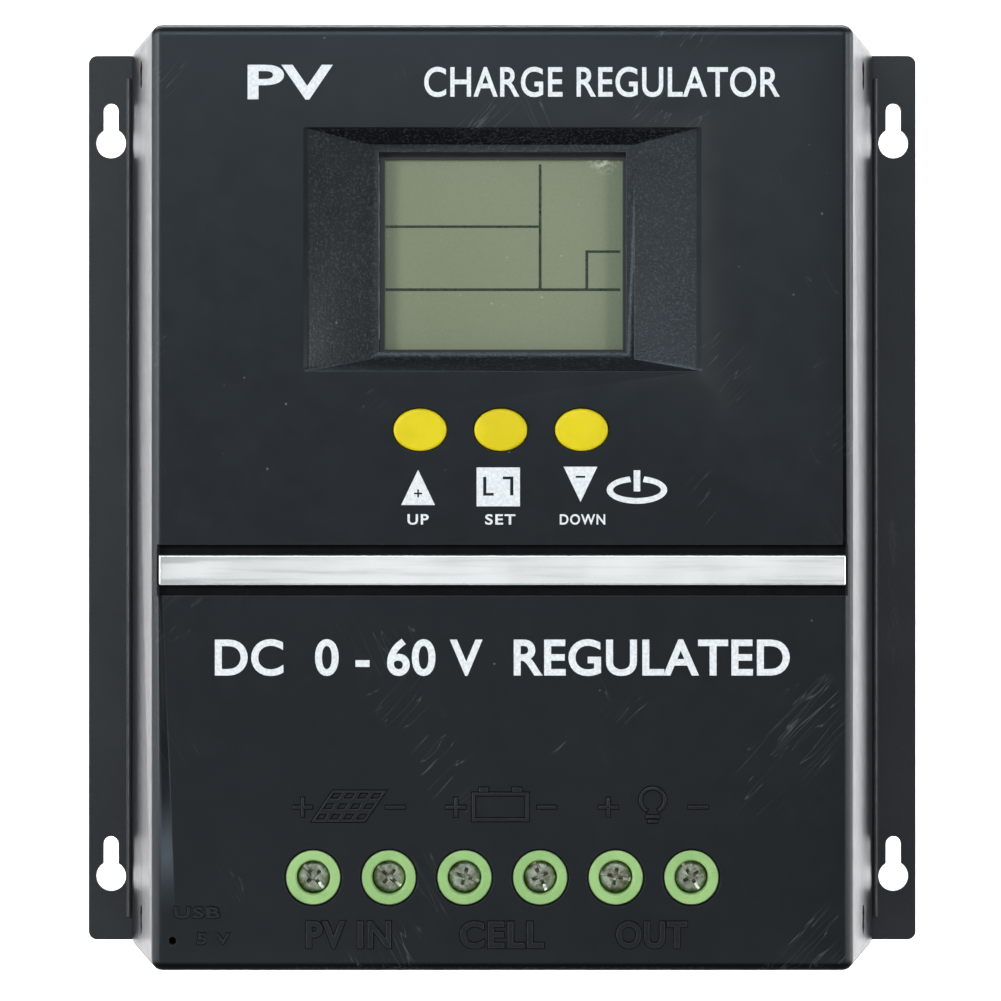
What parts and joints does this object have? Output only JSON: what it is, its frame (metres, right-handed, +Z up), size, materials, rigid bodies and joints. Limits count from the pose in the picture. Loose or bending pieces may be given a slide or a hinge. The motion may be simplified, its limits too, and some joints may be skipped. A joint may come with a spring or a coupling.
{
  "type": "charge controller",
  "caption": "Wall-mounted solar charge controller: black case with recessed display, push buttons, bright trim strip, screw clamp terminals and keyhole flanges",
  "frame": {"origin": "middle of the base plate's flat rear face, on the wall plane", "axes": "+Y points into the wall, -Y is the front, +Z is up and +X is to the right of someone facing the front"},
  "size_m": [0.1748, 0.061, 0.191],
  "materials": {
    "case_black": "satin fine grain",
    "plate_black": "fine textured paint",
    "trim_bright": "polished",
    "lcd_green": "smooth",
    "bezel_black": "matt",
    "light_guide": "milky",
    "board_green": "solder mask",
    "button_yellow": "satin",
    "switch_black": "matt",
    "plunger_tan": "matt",
    "terminal_green": "satin",
    "screw_zinc": "zinc plated",
    "clamp_steel": "nickel plated",
    "contact_brass": "tinned brass",
    "port_steel": "nickel plated",
    "led_red": "clear red resin",
    "package_black": "moulded epoxy",
    "bar_aluminium": "mill finish",
    "pad_grey": "soft",
    "ferrite_grey": "sintered",
    "winding_copper": "enamelled wire",
    "sleeve_blue": "heat-shrink sleeve"
  },
  "bodies": {
    "housing": {"front_cover": "case_black", "back_plate": "plate_black", "trim_strip": "trim_bright", "lcd_panel": "lcd_green", "lcd_bezel": "bezel_black", "lcd_backlight": "light_guide", "display_board": "board_green", "main_board": "board_green", "thermal_pad": "pad_grey", "transistor_clamp_bar": "bar_aluminium", "inductor_core": "ferrite_grey", "inductor_winding": "winding_copper", "capacitor_1": "sleeve_blue", "capacitor_2": "sleeve_blue", "microcontroller": "package_black", "board_header": "package_black", "usb_port": "port_steel", "status_led": "led_red", "cover_screw_upper_left": "screw_zinc", "board_screw_upper_left": "screw_zinc", "cover_screw_lower_left": "screw_zinc", "board_screw_lower_left": "screw_zinc", "cover_screw_upper_right": "screw_zinc", "board_screw_upper_right": "screw_zinc", "cover_screw_lower_right": "screw_zinc", "board_screw_lower_right": "screw_zinc", "tact_switch_up": "switch_black", "tact_switch_set": "switch_black", "tact_switch_down": "switch_black", "terminal_pv": "terminal_green", "terminal_battery": "terminal_green", "terminal_load": "terminal_green", "contact_bar_1": "contact_brass", "contact_bar_2": "contact_brass", "contact_bar_3": "contact_brass", "contact_bar_4": "contact_brass", "contact_bar_5": "contact_brass", "contact_bar_6": "contact_brass", "power_transistor_1": "package_black", "power_transistor_2": "package_black", "power_transistor_3": "package_black", "power_transistor_4": "package_black"},
    "push_up": {"button_up": "button_yellow", "tact_plunger_up": "plunger_tan"},
    "push_set": {"button_set": "button_yellow", "tact_plunger_set": "plunger_tan"},
    "push_down": {"button_down": "button_yellow", "tact_plunger_down": "plunger_tan"},
    "screw_1": {"terminal_screw_1": "screw_zinc"},
    "clamp_1": {"wire_clamp_1": "clamp_steel"},
    "screw_2": {"terminal_screw_2": "screw_zinc"},
    "clamp_2": {"wire_clamp_2": "clamp_steel"},
    "screw_3": {"terminal_screw_3": "screw_zinc"},
    "clamp_3": {"wire_clamp_3": "clamp_steel"},
    "screw_4": {"terminal_screw_4": "screw_zinc"},
    "clamp_4": {"wire_clamp_4": "clamp_steel"},
    "screw_5": {"terminal_screw_5": "screw_zinc"},
    "clamp_5": {"wire_clamp_5": "clamp_steel"},
    "screw_6": {"terminal_screw_6": "screw_zinc"},
    "clamp_6": {"wire_clamp_6": "clamp_steel"}
  },
  "joints": [
    {"name": "press_up", "type": "slide", "parent": "housing", "child": "push_up", "axis": [0, 1, 0], "range_m": [0, 0.0005], "stiffness_N_per_m": 3000},
    {"name": "press_set", "type": "slide", "parent": "housing", "child": "push_set", "axis": [0, 1, 0], "range_m": [0, 0.0005], "stiffness_N_per_m": 3000},
    {"name": "press_down", "type": "slide", "parent": "housing", "child": "push_down", "axis": [0, 1, 0], "range_m": [0, 0.0005], "stiffness_N_per_m": 3000},
    {"name": "turn_screw_1", "type": "hinge", "parent": "housing", "child": "screw_1", "pos_m": [-0.0375, -0.05, -0.07535], "axis": [0, 1, 0], "range_deg": [0, 3961]},
    {"name": "lift_clamp_1", "type": "slide", "parent": "housing", "child": "clamp_1", "axis": [0, -1, 0], "range_m": [0, 0.0077]},
    {"name": "turn_screw_2", "type": "hinge", "parent": "housing", "child": "screw_2", "pos_m": [-0.0225, -0.05, -0.07535], "axis": [0, 1, 0], "range_deg": [0, 3961]},
    {"name": "lift_clamp_2", "type": "slide", "parent": "housing", "child": "clamp_2", "axis": [0, -1, 0], "range_m": [0, 0.0077]},
    {"name": "turn_screw_3", "type": "hinge", "parent": "housing", "child": "screw_3", "pos_m": [-0.0075, -0.05, -0.07535], "axis": [0, 1, 0], "range_deg": [0, 3961]},
    {"name": "lift_clamp_3", "type": "slide", "parent": "housing", "child": "clamp_3", "axis": [0, -1, 0], "range_m": [0, 0.0077]},
    {"name": "turn_screw_4", "type": "hinge", "parent": "housing", "child": "screw_4", "pos_m": [0.0075, -0.05, -0.07535], "axis": [0, 1, 0], "range_deg": [0, 3961]},
    {"name": "lift_clamp_4", "type": "slide", "parent": "housing", "child": "clamp_4", "axis": [0, -1, 0], "range_m": [0, 0.0077]},
    {"name": "turn_screw_5", "type": "hinge", "parent": "housing", "child": "screw_5", "pos_m": [0.0225, -0.05, -0.07535], "axis": [0, 1, 0], "range_deg": [0, 3961]},
    {"name": "lift_clamp_5", "type": "slide", "parent": "housing", "child": "clamp_5", "axis": [0, -1, 0], "range_m": [0, 0.0077]},
    {"name": "turn_screw_6", "type": "hinge", "parent": "housing", "child": "screw_6", "pos_m": [0.0375, -0.05, -0.07535], "axis": [0, 1, 0], "range_deg": [0, 3961]},
    {"name": "lift_clamp_6", "type": "slide", "parent": "housing", "child": "clamp_6", "axis": [0, -1, 0], "range_m": [0, 0.0077]}
  ],
  "couplings": [
    {"joint": "turn_screw_1", "follows": "lift_clamp_1", "rad_per_m": 8976},
    {"joint": "turn_screw_2", "follows": "lift_clamp_2", "rad_per_m": 8976},
    {"joint": "turn_screw_3", "follows": "lift_clamp_3", "rad_per_m": 8976},
    {"joint": "turn_screw_4", "follows": "lift_clamp_4", "rad_per_m": 8976},
    {"joint": "turn_screw_5", "follows": "lift_clamp_5", "rad_per_m": 8976},
    {"joint": "turn_screw_6", "follows": "lift_clamp_6", "rad_per_m": 8976}
  ]
}
